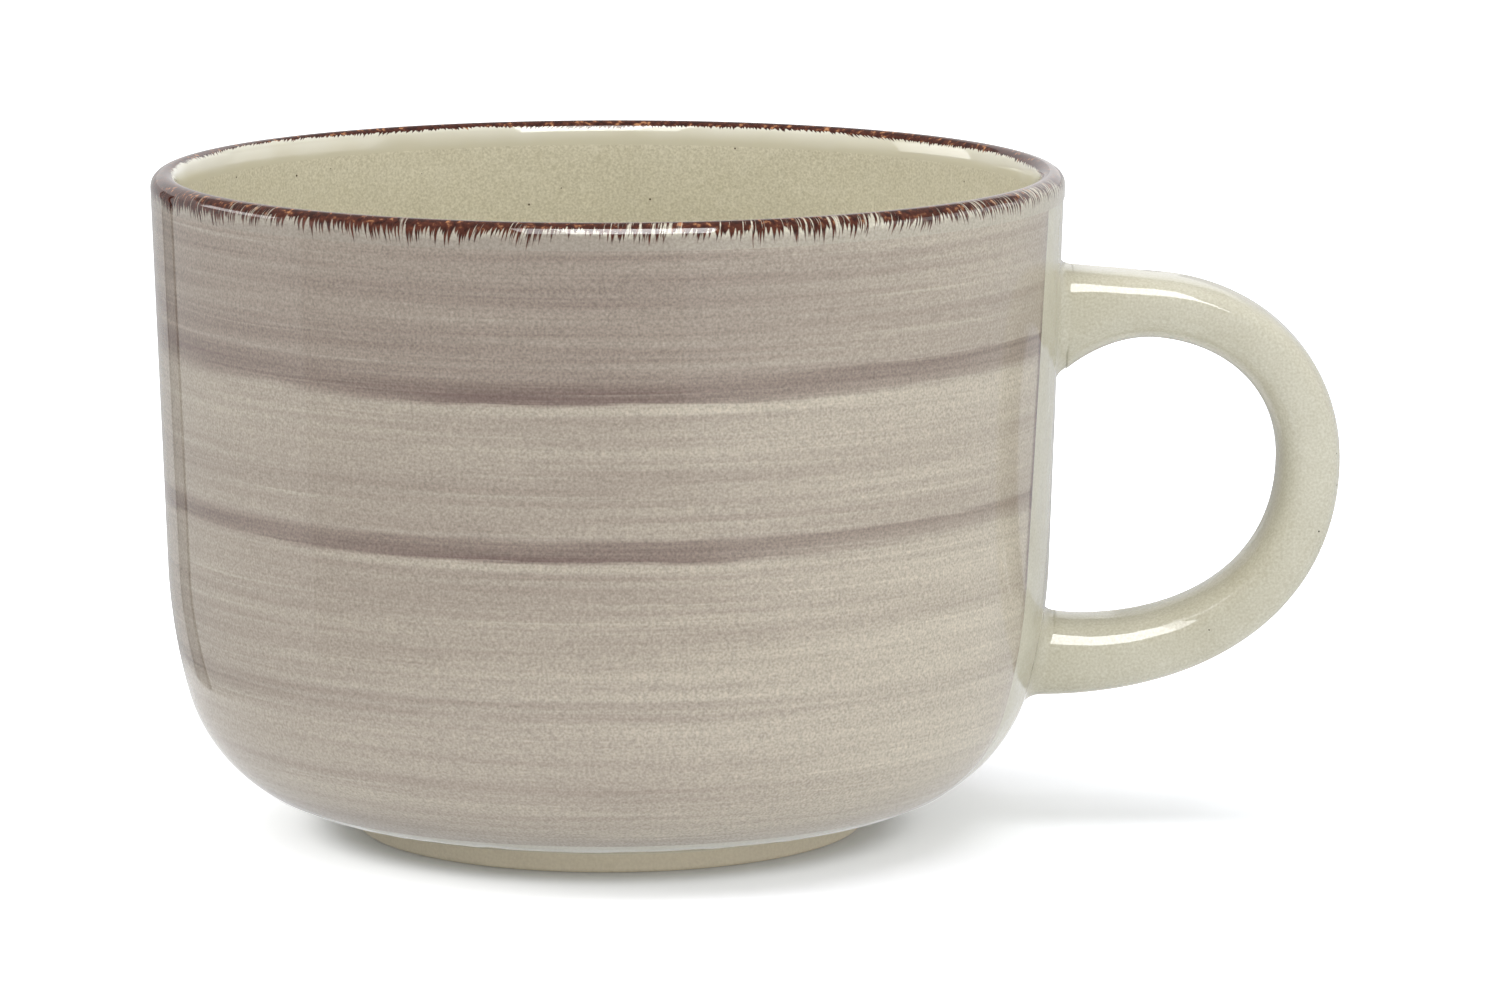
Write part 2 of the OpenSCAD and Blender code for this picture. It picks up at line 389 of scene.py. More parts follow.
def bare_clay():
    """Unglazed stoneware: matt and sandy, with glazed clay above the wiped line."""
    material = new_material("bare_fired_stoneware")
    add = partial(add_node, material.node_tree)
    spot = add("ShaderNodeTexCoord").outputs["Object"]
    grit = add("ShaderNodeTexNoise", {"Vector": spot, "Scale": 1 / (grit_mm * MM), "Detail": 3.0})
    clay = add(
        "ShaderNodeMixRGB", {"Fac": grit, "Color1": colour(bare_deep), "Color2": colour(bare_pale)}
    )
    line = add(
        "ShaderNodeTexNoise",
        {"Vector": spot, "Scale": 1 / (glaze_line_wave_mm * MM), "Detail": 1.0},
    )
    height = add("ShaderNodeSeparateXYZ", {"Vector": spot}).outputs["Z"]
    line = add(
        "ShaderNodeMath", {0: line, 1: glaze_line_varies * MM, 2: height}, operation="MULTIPLY_ADD"
    )
    wet = add(
        "ShaderNodeMapRange",
        {"Value": line, "From Min": glaze_line * MM, "From Max": (glaze_line + glaze_edge) * MM},
    )
    paint = add("ShaderNodeMixRGB", {"Fac": wet, "Color1": clay, "Color2": colour(glazed_foot)})
    gloss = add(
        "ShaderNodeMapRange", {"Value": wet, "To Min": bare_roughness, "To Max": GLAZE_ROUGHNESS}
    )
    skin = add("ShaderNodeBump", {"Height": grit, "Strength": 1.0, "Distance": grit_h * MM})
    glaze_over(material, paint, Roughness=gloss, Normal=skin)
    return material


foot_in = foot_r - foot_w
foot_seat = base_z + body_inset + foot_bite
inner_edge_c = np.array([foot_in + foot_edge_r, foot_edge_r])
outer_edge_c = np.array([foot_r - foot_edge_r, foot_edge_r])
fillet_c = np.array([foot_r + foot_fillet_r, base_z + body_inset - foot_fillet_r])
foot_profile = np.vstack(
    [
        straight([foot_in, foot_seat], [foot_in, foot_edge_r], foot_side_steps)[:-1],
        arc(inner_edge_c, foot_edge_r, 180, 270, foot_round_steps),
        arc(outer_edge_c, foot_edge_r, 270, 360, foot_round_steps),
        arc(fillet_c, foot_fillet_r, 180, 90, foot_round_steps),
        [[foot_r + foot_fillet_r, foot_seat], [foot_in, foot_seat]],
    ]
)
foot_ring = turned_piece("foot_ring_clay", foot_profile, bare_clay())
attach(foot_ring, "root")
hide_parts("foot_ring")


# Handle: a strap cast by itself, squared a little in section, and luted on with slip.
# It is glazed with the body, and its ends are cut to lie on the cup's round wall.
# Its middle line is two curves, one from each root, that meet at the grip.
handle_low, handle_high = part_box("handle")
strap_w = (handle_high.y - handle_low.y) / MM
grip_t = 7.6
grip_drop = 17.1
strap_outside = 3.4  # powers of the section: 2 is an ellipse, more is squarer
strap_inside = 2.4
upper_root_drop = 18
upper_root_t = 13
upper_taper = 12.9
upper_rise = 16.7  # the strap leaves the cup at this angle
upper_pull = 18.6  # lengths of the curve's two handles, at the root and at the grip
upper_bow = 13.1
lower_root_rise = 17.8
lower_root_t = 9.8
lower_taper = 40
lower_drop = 3
lower_pull = 20
lower_bow = 15.5
mitre_run = 12  # the cut end's curve dies out over this length
slip_t = 1.4
strap_sides = 96
strap_steps = 80
end_shares = np.array([0.25, 0.5, 0.7, 0.85, 0.95])  # rings that close an end, by size


def wall_r(z, inset):
    """Radius at a height of the outside moved in by inset."""
    belly = belly_r - inset
    corner = corner_r - inset
    if z > belly_c[1] - belly * math.sin(math.radians(wall_lean)):
        return wall_line(z) - inset / math.cos(math.radians(wall_lean))
    if z > belly_c[1] - belly * math.sin(math.radians(turn)):
        return belly_c[0] + math.sqrt(belly**2 - (z - belly_c[1]) ** 2)
    return corner_c[0] + math.sqrt(corner**2 - (z - corner_c[1]) ** 2)


def section(width, thickness):
    """Superellipse across the strap, squarer on the outside of the bend than on the inside."""
    a = np.arange(strap_sides) * 2 * math.pi / strap_sides
    power = 2 / np.where(np.sin(a) > 0, strap_outside, strap_inside)
    across = np.sign(np.cos(a)) * np.abs(np.cos(a)) ** power * width / 2
    through = np.sign(np.sin(a)) * np.abs(np.sin(a)) ** power * thickness / 2
    return np.column_stack([across, through])


def seat(root, tilt, width, thickness, lift, share=1.0):
    """A root's outline laid on the cup's wall, lifted off it and drawn in to a share of its size.
    The lift is along X."""
    ring = []
    for across, through in share * section(width, thickness):
        z = root[1] + through * math.cos(math.radians(tilt))
        ring.append([math.sqrt(wall_r(z, coat_t) ** 2 - across**2) + lift, across, z])
    return np.array(ring)


def curve(points, shares):
    """Places and headings in degrees along a cubic curve."""
    p = np.array(points)
    t = np.array(shares)[:, None]
    u = 1 - t
    place = u**3 * p[0] + 3 * u**2 * t * p[1] + 3 * u * t**2 * p[2] + t**3 * p[3]
    ahead = u**2 * (p[1] - p[0]) + 2 * u * t * (p[2] - p[1]) + t**2 * (p[3] - p[2])
    return place, np.degrees(np.arctan2(ahead[:, 1], ahead[:, 0]))


def fade(distance, reach):
    """How much of a root's shape is left at a distance from it."""
    return np.clip(1 - distance / reach, 0, None) ** 2


def skinned_piece(name, first, rings, final, finish):
    """A closed skin over rings of equal count, drawn to a point at each end."""
    n = len(rings[0])
    points = np.vstack([[first], *rings, [final]]) * MM
    last_ring = 1 + (len(rings) - 1) * n
    faces = [(0, 1 + (k + 1) % n, 1 + k) for k in range(n)]
    for i in range(len(rings) - 1):
        a, b = 1 + i * n, 1 + (i + 1) * n
        faces += [(a + k, a + (k + 1) % n, b + (k + 1) % n, b + k) for k in range(n)]
    faces += [(len(points) - 1, last_ring + k, last_ring + (k + 1) % n) for k in range(n)]
    mesh = bpy.data.meshes.new(name)
    mesh.from_pydata(points.tolist(), [], faces)
    mesh.polygons.foreach_set("use_smooth", [True] * len(faces))
    mesh.materials.append(finish)
    piece = bpy.data.objects.new(name, mesh)
    bpy.context.scene.collection.objects.link(piece)
    return piece


upper_root_z = cup_h - upper_root_drop
lower_root_z = base_z + lower_root_rise
upper_root = np.array([wall_r(upper_root_z, coat_t), upper_root_z])
lower_root = np.array([wall_r(lower_root_z, coat_t), lower_root_z])
grip = np.array([handle_high.x / MM - grip_t / 2, upper_root_z - grip_drop])
shares = np.linspace(0, 1, strap_steps + 1)
upper_place, upper_heading = curve(
    [upper_root, upper_root + upper_pull * polar(upper_rise), grip + [0, upper_bow], grip], shares
)
lower_place, lower_heading = curve(
    [grip, grip - [0, lower_bow], lower_root + lower_pull * polar(-lower_drop), lower_root], shares
)
place = np.vstack([upper_place[:-1], lower_place])
heading = np.concatenate([upper_heading[:-1], lower_heading])
run = np.concatenate([[0], np.cumsum(np.linalg.norm(np.diff(place, axis=0), axis=1))])
upper_end = seat(upper_root, heading[0], strap_w, upper_root_t, slip_t)
lower_end = seat(lower_root, heading[-1], strap_w, lower_root_t, slip_t)
upper_slant = section(strap_w, upper_root_t)[:, 1] * math.sin(math.radians(heading[0]))
lower_slant = section(strap_w, lower_root_t)[:, 1] * math.sin(math.radians(heading[-1]))
to_upper = upper_end[:, 0] - upper_root[0] + upper_slant
to_lower = lower_end[:, 0] - lower_root[0] + lower_slant
stations = []
for spot, angle, from_upper in zip(place, heading, run):
    from_lower = run[-1] - from_upper
    thickness = (
        grip_t
        + (upper_root_t - grip_t) * fade(from_upper, upper_taper)
        + (lower_root_t - grip_t) * fade(from_lower, lower_taper)
    )
    outline = section(strap_w, thickness)
    through = polar(angle + 90)
    bent = fade(from_upper, mitre_run) * to_upper + fade(from_lower, mitre_run) * to_lower
    stations.append(
        np.column_stack(
            [
                spot[0] + outline[:, 1] * through[0] + bent,
                outline[:, 0],
                spot[1] + outline[:, 1] * through[1],
            ]
        )
    )
upper_rings = [seat(upper_root, heading[0], strap_w, upper_root_t, slip_t, s) for s in end_shares]
lower_rings = [
    seat(lower_root, heading[-1], strap_w, lower_root_t, slip_t, s) for s in end_shares[::-1]
]
handle = skinned_piece(
    "handle_strap",
    [upper_root[0] + slip_t, 0, upper_root[1]],
    upper_rings + stations + lower_rings,
    [lower_root[0] + slip_t, 0, lower_root[1]],
    cream_glaze,
)
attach(handle, "root")
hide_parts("handle")


# Slip joints: wet clay that lutes each end of the strap to the cup. What squeezes out is wiped
# to a hollow fillet all round, and the glaze rounds it further, so it runs out along the strap.
slip_side = 2.4  # it spreads this far past the strap at the sides, and above and below
slip_end = 1.2
fillet_run = 0.4  # and this far out along it
fillet_steps = 16
slip_bite = 0.03  # it sinks this far into the clay
on_wall = coat_t - body_inset - slip_bite
for name, root, tilt, root_t, strap, order in (
    ("upper_slip_joint", upper_root, heading[0], upper_root_t, stations, 1),
    ("lower_slip_joint", lower_root, heading[-1], lower_root_t, stations[::-1], -1),
):
    spread_w = strap_w + 2 * slip_side
    spread_t = root_t + 2 * slip_end
    from_root = run if order == 1 else run[-1] - run[::-1]
    reach = np.abs(from_root - fillet_run).argmin()
    foot_line = seat(root, tilt, spread_w, spread_t, on_wall)
    corner_line = seat(root, tilt, strap_w, root_t, on_wall)
    head_line = strap[reach]
    onward = strap[reach + 1] - strap[reach - 1]
    onward /= np.linalg.norm(onward, axis=1)[:, None]
    back = np.linalg.norm(head_line - corner_line, axis=1)[:, None]
    knee = (corner_line + head_line - onward * back) / 2
    rings = [seat(root, tilt, spread_w, spread_t, on_wall, s) for s in end_shares]
    for t in np.linspace(0, 1, fillet_steps + 1):
        rings.append((1 - t) ** 2 * foot_line + 2 * t * (1 - t) * knee + t**2 * head_line)
    rings.append(head_line + guard * onward)
    middle = head_line.mean(axis=0)
    rings += [middle + (head_line - middle) * s for s in end_shares[::-1]]
    joint = skinned_piece(
        name + "_fillet",
        [root[0] + on_wall, 0, root[1]],
        [ring[::order] for ring in rings],
        middle,
        cream_glaze,
    )
    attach(joint, "root")
    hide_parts(name)


# Brushed coat: taupe underglaze laid on with a wide brush while the cup turns on a wheel,
# under clear glaze. Three rings were banded on top, and the brush was lifted at the handle,
# which leaves a bare cream panel there.
coat_stop = 30  # degrees up the corner from the base
band_h = 3  # of the rim band above it
panel_half_top = 17.2  # half the bare panel's angle at the coat's top and foot
panel_half_low = 22.6
edge_feather = 1.6  # the film thins out over this width along the panel
edge_crowding = 0.87  # of a column
pool_mm = (0.6, 1.6)  # the colour pools in a dark line this wide where the brush was lifted
pool_depth = 0.6
pool_fades_mm = ((68, 58), (28, 36))  # and less so above and below these heights
pool_left = 0.2
lifted_mm = 9  # it also lies a little deeper over this last stretch
lifted_depth = 0.1
coat_pale = "#C8BFAD"
coat_deep = "#664F4B"
coat_r = 52  # the streaks' lengths are true on this radius
coat_paler_where_lit = 0.3  # painted light: the taupe is painted this much paler towards the handle's side, where more light falls
coat_grain = (0.48, 1.52)  # the clay's grain shows through as darker and lighter points
# Kinds of streak, as (length in mm, width in mm, detail, most that it adds or takes).
ring_streaks = ((40, 30, 2.0, 0.7), (9, 0.5, 2.0, 0.5))  # the rings waver and tear, in mm
depth_streaks = (
    (110, 7, 2.0, 0.2),
    (90, 2.4, 2.0, 0.17),
    (60, 0.9, 3.0, 0.17),
    (22, 0.3, 2.0, 0.09),
)
missed_streaks = (45, 0.45, 2.0)  # lines that the bristles missed, over these noise levels
missed_range = (0.55, 0.75)
missed_depth = -0.18
missed_patches = (50, 6, 1.0)  # they lie only in some patches
patch_range = (0.42, 0.6)
ramp_h = 80  # the height that a ramp of depths spans
# How deep the colour lies, as (height in mm, depth): the low part has the faint third ring, and
# the other two rings change form round the cup.
depth_low = (
    (5, 0.40), (14, 0.36), (22.3, 0.37),
    (22.8, 0.52), (23.2, 0.50), (23.5, 0.36), (23.9, 0.50), (24.4, 0.46), (24.9, 0.39),
    (34, 0.39), (39.4, 0.40),
)
depth_top = ((70, 0.60), (77, 0.56))
rings_in_front = (  # sharp at their lower edges, each with a pale line below
    (40.2, 0.22), (40.8, 0.24), (41.1, 0.80), (42.4, 0.82), (43.2, 0.70), (43.9, 0.44),
    (51, 0.42), (57.6, 0.40),
    (58.5, 0.23), (59.0, 0.26), (59.4, 0.80), (60.6, 0.82), (61.8, 0.73), (62.6, 0.58),
)
rings_by_handle = (  # thinner, and darkest at their upper edges
    (41.1, 0.45), (41.6, 0.61), (42.4, 0.68), (43.2, 0.79), (43.5, 0.77), (43.8, 0.52),
    (51, 0.43), (57.6, 0.42),
    (59.3, 0.46), (59.8, 0.74), (60.8, 0.82), (62.2, 0.94), (62.5, 0.91), (62.8, 0.62),
)
rings_far_side = (  # soft at both edges
    (40.6, 0.36), (40.9, 0.40), (41.3, 0.64), (42.2, 0.75), (43.0, 0.68), (43.7, 0.50),
    (44.6, 0.42), (57.6, 0.41), (59.0, 0.37),
    (59.6, 0.48), (60.0, 0.60), (60.4, 0.71), (61.1, 0.74), (62.2, 0.66), (62.9, 0.59),
)
side_rings = (  # each eases in between two distances from the middle, in mm along X
    (rings_by_handle, 8, 38),
    (rings_far_side, -14, -38),
)


def fill_ramp(node, stops, span):
    """Sets a colour ramp to grey levels at places along a span."""
    levels = node.color_ramp.elements
    levels[0].position, levels[0].color = stops[0][0] / span, [stops[0][1]] * 3 + [1]
    levels[1].position, levels[1].color = stops[-1][0] / span, [stops[-1][1]] * 3 + [1]
    for place, level in stops[1:-1]:
        levels.new(place / span).color = [level] * 3 + [1]


band_down = band_h - lip_r
coat_outer = side_line(0, coat_stop - 90, band_down)
coat_inner = side_line(film_t, coat_stop - 90, band_down)
coat_profile = film(coat_outer, coat_inner)
coat_thin = film(coat_inner, coat_inner)
coat_low, coat_high = coat_profile[0, 1], coat_profile[:, 1].max()


def brushed_underglaze():
    """Thin taupe colour in level brush streaks, with banded rings and grain, under gloss."""
    material = new_material("brushed_taupe_underglaze")
    add = partial(add_node, material.node_tree)
    spot = add("ShaderNodeTexCoord").outputs["Object"]
    place = add("ShaderNodeSeparateXYZ", {"Vector": spot}).outputs
    mapped = add("ShaderNodeUVMap", uv_map="around_up")

    def streaks(along_mm, across_mm, detail):
        """Noise drawn out along the brush's path."""
        stretched = add(
            "ShaderNodeVectorMath",
            {0: mapped, 1: (coat_r / along_mm, 1 / across_mm, 0)},
            operation="MULTIPLY",
        )
        return add("ShaderNodeTexNoise", {"Vector": stretched, "Scale": 1.0, "Detail": detail})

    def with_streaks(value, kinds):
        """A value that each kind of streak raises and lowers."""
        for along_mm, across_mm, detail, most in kinds:
            change = add(
                "ShaderNodeMapRange",
                {"Value": streaks(along_mm, across_mm, detail), "To Min": -most, "To Max": most},
            )
            value = add("ShaderNodeMath", {0: value, 1: change}, operation="ADD")
        return value

    height = add("ShaderNodeMath", {0: place["Z"], 1: MM}, operation="DIVIDE")
    level = with_streaks(height, ring_streaks)
    level = add("ShaderNodeMath", {0: level, 1: ramp_h}, operation="DIVIDE")
    depth = add("ShaderNodeValToRGB", {"Fac": level})
    fill_ramp(depth, depth_low + rings_in_front + depth_top, ramp_h)
    for rings, near, far in side_rings:
        aside = add("ShaderNodeValToRGB", {"Fac": level})
        fill_ramp(aside, depth_low + rings + depth_top, ramp_h)
        towards = add(
            "ShaderNodeMapRange",
            {"Value": place["X"], "From Min": near * MM, "From Max": far * MM},
        )
        depth = add("ShaderNodeMixRGB", {"Fac": towards, "Color1": depth, "Color2": aside})
    depth = with_streaks(depth, depth_streaks)
    missed = add(
        "ShaderNodeMapRange",
        {
            "Value": streaks(*missed_streaks),
            "From Min": missed_range[0],
            "From Max": missed_range[1],
            "To Max": missed_depth,
        },
    )
    patches = add(
        "ShaderNodeMapRange",
        {
            "Value": streaks(*missed_patches),
            "From Min": patch_range[0],
            "From Max": patch_range[1],
        },
    )
    missed = add("ShaderNodeMath", {0: missed, 1: patches}, operation="MULTIPLY")
    # Painted light: the taupe is paler towards the handle's side, where more light falls.
    lit_side_paling = add(
        "ShaderNodeMapRange", {"Value": place["X"], "From Max": coat_r * MM, "To Max": -coat_paler_where_lit}
    )
    round_axis = add("ShaderNodeMath", {0: place["Y"], 1: place["X"]}, operation="ARCTAN2")
    round_axis = add("ShaderNodeMath", {0: round_axis}, operation="ABSOLUTE")
    panel_edge = add(
        "ShaderNodeMapRange",
        {
            "Value": height,
            "From Min": coat_low,
            "From Max": coat_high,
            "To Min": math.radians(panel_half_low),
            "To Max": math.radians(panel_half_top),
        },
    )
    past_edge = add("ShaderNodeMath", {0: round_axis, 1: panel_edge}, operation="SUBTRACT")
    past_edge = add("ShaderNodeMath", {0: past_edge, 1: coat_r}, operation="MULTIPLY")
    pooled = add(
        "ShaderNodeMapRange",
        {
            "Value": past_edge,
            "From Min": pool_mm[0],
            "From Max": pool_mm[1],
            "To Min": pool_depth,
            "To Max": 0.0,
        },
    )
    for faint, whole in pool_fades_mm:
        fades = add(
            "ShaderNodeMapRange",
            {"Value": height, "From Min": faint, "From Max": whole, "To Min": pool_left},
        )
        pooled = add("ShaderNodeMath", {0: pooled, 1: fades}, operation="MULTIPLY")
    lifted = add(
        "ShaderNodeMapRange",
        {"Value": past_edge, "From Max": lifted_mm, "To Min": lifted_depth, "To Max": 0.0},
    )
    for part in (missed, lit_side_paling, pooled, lifted):
        depth = add("ShaderNodeMath", {0: depth, 1: part}, operation="ADD")
    paint = add(
        "ShaderNodeMixRGB",
        {"Fac": depth, "Color1": colour(coat_pale), "Color2": colour(coat_deep)},
    )
    grain = add(
        "ShaderNodeTexNoise", {"Vector": spot, "Scale": 1 / (grain_mm * MM), "Detail": 2.0}
    )
    grain = add(
        "ShaderNodeMapRange", {"Value": grain, "To Min": coat_grain[0], "To Max": coat_grain[1]}
    )
    paint = add(
        "ShaderNodeMixRGB", {"Fac": 1.0, "Color1": paint, "Color2": grain}, blend_type="MULTIPLY"
    )
    glaze_over(material, paint)
    return material


up_coat = (coat_profile[:, 1] - coat_low) / (coat_high - coat_low)
coat_start = np.radians(panel_half_low + (panel_half_top - panel_half_low) * up_coat)
brushed_coat = turned_piece(
    "brushed_coat_underglaze",
    coat_profile,
    brushed_underglaze(),
    thin=coat_thin,
    start=coat_start,
    feather=edge_feather,
    crowding=edge_crowding,
)
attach(brushed_coat, "root")
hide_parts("brushed_coat")


# Rim band: iron-brown colour brushed over the lip with a stiff dry brush, so its bristles
# leave ragged strokes down the outside and a torn edge inside.
solid_from = 2.7  # the brown is whole between these runs up and over the lip
solid_to = 5.1
solid_varies = 1.2
wander_mm = 22
heavy_mm = (-50, -5)  # it comes down further towards the side away from the handle
heavy = 0.8
inner_varies = 0.5
inner_tilt = 0.4  # it reaches this much further inside towards the handle
inner_shorter = 4  # the strokes are this many times shorter inside
bristles = ((0.62, 2.3), (0.85, 1.9), (0.45, 1.9))  # width and longest stroke
stroke_least = 0.15
stroke_edge = (-0.12, 0.2)  # how softly a stroke ends
lean_mm = 16  # strokes lean one way or the other over this distance
lean_most = 0.9
group_mm = 4  # and are longer or shorter in groups
group_range = (0.3, 1.7)
hair_mm = 0.3  # scratches through the brown
hair_stretch = 0.2
scrape_mm = 7  # they lie in patches
scrape_share = 0.7
ends_mm = (38, 50)  # and there are more of them at the rim's two ends
ends_change = (-0.05, 0.02)
bare_range = (0.96, 1.04)
brown_left = 0.1
crest_whole = (3.2, 4.0)  # the brown has no scratches past this run
clay_shows = ((0, 0.0), (0.7, 0.1), (1.2, 0.45), (1.5, 0.58))  # the taupe's depth past the brown
clay_span = 4
covered_mm = (-25, 5)  # the taupe reaches the brown on the side away from the handle
covered_depth = 0.5
# painted light: the taupe ground is painted paler towards the handle's side, as on the coat
rim_paler_where_lit = 0.5
rim_clay = "#D6D1BE"
rim_grain = (0.6, 1.4)
lining_run = (4.0, 4.4)  # from here on the clay has the liner's glaze
lit_band_run = (5.4, 7.4)  # painted light: a paler band is painted just under the lip, standing in for the light on its inner round
lit_band_varies = 1.6
lit_band_inside = "#E2DFD0"
cream_inside = "#D6D1BB"
rust_mm = 0.8
rust_range = (0.35, 0.65)
brown_deep = "#351912"
brown_warm = "#5E3224"
fleck_range = (0.58, 0.70)  # light flecks on the lip's crest
fleck_run = (2.0, 3.0)
fleck_tan = "#B8835A"
band_steps = 8
rim_segments = 384


def brushed_rim():
    """Iron-brown underglaze in pointed bristle strokes over the glazed clay, under gloss."""
    material = new_material("dry_brushed_iron_brown")
    add = partial(add_node, material.node_tree)
    spot = add("ShaderNodeTexCoord").outputs["Object"]
    mapped = add("ShaderNodeUVMap", uv_map="around_up")
    over = add("ShaderNodeSeparateXYZ", {"Vector": mapped}).outputs
    handle_side = add("ShaderNodeSeparateXYZ", {"Vector": spot}).outputs["X"]

    # Where the whole brown ends outside and inside, and how far past it a point lies.
    wander = add(
        "ShaderNodeTexNoise", {"Vector": spot, "Scale": 1 / (wander_mm * MM), "Detail": 1.0}
    )
    wander = add(
        "ShaderNodeMapRange", {"Value": wander, "To Min": -solid_varies, "To Max": solid_varies}
    )
    below = add("ShaderNodeMath", {0: solid_from, 1: over["Y"]}, operation="SUBTRACT")
    below = add("ShaderNodeMath", {0: below, 1: wander}, operation="ADD")
    heavier = add(
        "ShaderNodeMapRange",
        {
            "Value": handle_side,
            "From Min": heavy_mm[0] * MM,
            "From Max": heavy_mm[1] * MM,
            "To Min": -heavy,
            "To Max": 0.0,
        },
    )
    below = add("ShaderNodeMath", {0: below, 1: heavier}, operation="ADD")
    inside = add("ShaderNodeMath", {0: over["Y"], 1: solid_to}, operation="SUBTRACT")
    inside = add(
        "ShaderNodeMath", {0: wander, 1: inner_varies, 2: inside}, operation="MULTIPLY_ADD"
    )
    inside = add(
        "ShaderNodeMath",
        {0: handle_side, 1: -inner_tilt / (rim_r * MM), 2: inside},
        operation="MULTIPLY_ADD",
    )
    inside = add("ShaderNodeMath", {0: inside, 1: inner_shorter}, operation="MULTIPLY")
    past = add("ShaderNodeMath", {0: below, 1: inside}, operation="MAXIMUM")

    # Bristle strokes: each narrows to a point over its own length.
    lean = add("ShaderNodeTexNoise", {"Vector": spot, "Scale": 1 / (lean_mm * MM), "Detail": 0.0})
    lean = add("ShaderNodeMapRange", {"Value": lean, "To Min": -lean_most, "To Max": lean_most})
    lean = add("ShaderNodeMath", {0: lean, 1: past}, operation="MULTIPLY")
    group = add(
        "ShaderNodeTexNoise", {"Vector": spot, "Scale": 1 / (group_mm * MM), "Detail": 2.0}
    )
    group = add(
        "ShaderNodeMapRange", {"Value": group, "To Min": group_range[0], "To Max": group_range[1]}
    )
    stroke = None
    for bristle_mm, longest in bristles:
        count = round(2 * math.pi * rim_r / bristle_mm)
        turn_share = add(
            "ShaderNodeMath", {0: over["X"], 1: count / (2 * math.pi)}, operation="MULTIPLY"
        )
        place = add(
            "ShaderNodeMath", {0: lean, 1: 1 / bristle_mm, 2: turn_share}, operation="MULTIPLY_ADD"
        )
        cell = add("ShaderNodeMath", {0: place}, operation="FLOOR")
        chance = add("ShaderNodeTexWhiteNoise", {"W": cell}, noise_dimensions="1D")
        length = add(
            "ShaderNodeMath",
            {0: chance.outputs["Value"], 1: longest, 2: stroke_least},
            operation="MULTIPLY_ADD",
        )
        length = add("ShaderNodeMath", {0: length, 1: group}, operation="MULTIPLY")
        taper = add("ShaderNodeMath", {0: past, 1: length}, operation="DIVIDE")
        across = add("ShaderNodeMath", {0: place}, operation="FRACT")
        across = add("ShaderNodeMath", {0: across, 1: 2.0, 2: -1.0}, operation="MULTIPLY_ADD")
        across = add("ShaderNodeMath", {0: across}, operation="ABSOLUTE")
        left = add("ShaderNodeMath", {0: 1.0, 1: taper}, operation="SUBTRACT")
        left = add("ShaderNodeMath", {0: left, 1: across}, operation="SUBTRACT")
        tooth = add(
            "ShaderNodeMapRange",
            {"Value": left, "From Min": stroke_edge[0], "From Max": stroke_edge[1]},
        )
        if stroke:
            stroke = add("ShaderNodeMath", {0: stroke, 1: tooth}, operation="MAXIMUM")
        else:
            stroke = tooth

    # Fine scratches along the strokes, where the dry brush left the clay bare.
    hairs = add("ShaderNodeMath", {0: lean, 1: 1 / rim_r, 2: over["X"]}, operation="MULTIPLY_ADD")
    hairs = add("ShaderNodeMath", {0: hairs, 1: rim_r / hair_mm}, operation="MULTIPLY")
    hairs = add("ShaderNodeCombineXYZ", {"X": hairs, "Y": over["Y"]})
    hairs = add("ShaderNodeVectorMath", {0: hairs, 1: (1, hair_stretch, 1)}, operation="MULTIPLY")
    hairs = add("ShaderNodeTexNoise", {"Vector": hairs, "Scale": 1.0, "Detail": 2.0})
    scrape = add(
        "ShaderNodeTexNoise", {"Vector": spot, "Scale": 1 / (scrape_mm * MM), "Detail": 1.0}
    )
    hairs = add("ShaderNodeMath", {0: scrape, 1: scrape_share, 2: hairs}, operation="MULTIPLY_ADD")
    ends = add("ShaderNodeMath", {0: handle_side}, operation="ABSOLUTE")
    ends = add(
        "ShaderNodeMapRange",
        {
            "Value": ends,
            "From Min": ends_mm[0] * MM,
            "From Max": ends_mm[1] * MM,
            "To Min": ends_change[0],
            "To Max": ends_change[1],
        },
    )
    hairs = add("ShaderNodeMath", {0: hairs, 1: ends}, operation="ADD")
    shows = add(
        "ShaderNodeMapRange",
        {
            "Value": hairs,
            "From Min": bare_range[0],
            "From Max": bare_range[1],
            "To Min": 1.0,
            "To Max": brown_left,
        },
    )
    whole = add(
        "ShaderNodeMapRange",
        {"Value": over["Y"], "From Min": crest_whole[0], "From Max": crest_whole[1]},
    )
    shows = add("ShaderNodeMath", {0: shows, 1: whole}, operation="MAXIMUM")
    stroke = add("ShaderNodeMath", {0: stroke, 1: shows}, operation="MULTIPLY")

    # The ground that the brown lies on: clay and taupe outside, the liner's glaze inside, with a
    # painted band of light under the lip.
    along = add("ShaderNodeMath", {0: below, 1: group}, operation="DIVIDE")
    along = add("ShaderNodeMath", {0: along, 1: clay_span}, operation="DIVIDE")
    ground = add("ShaderNodeValToRGB", {"Fac": along})
    fill_ramp(ground, clay_shows, clay_span)
    covered = add(
        "ShaderNodeMapRange",
        {
            "Value": handle_side,
            "From Min": covered_mm[0] * MM,
            "From Max": covered_mm[1] * MM,
            "To Min": covered_depth,
            "To Max": 0.0,
        },
    )
    ground = add("ShaderNodeMath", {0: ground, 1: covered}, operation="MAXIMUM")
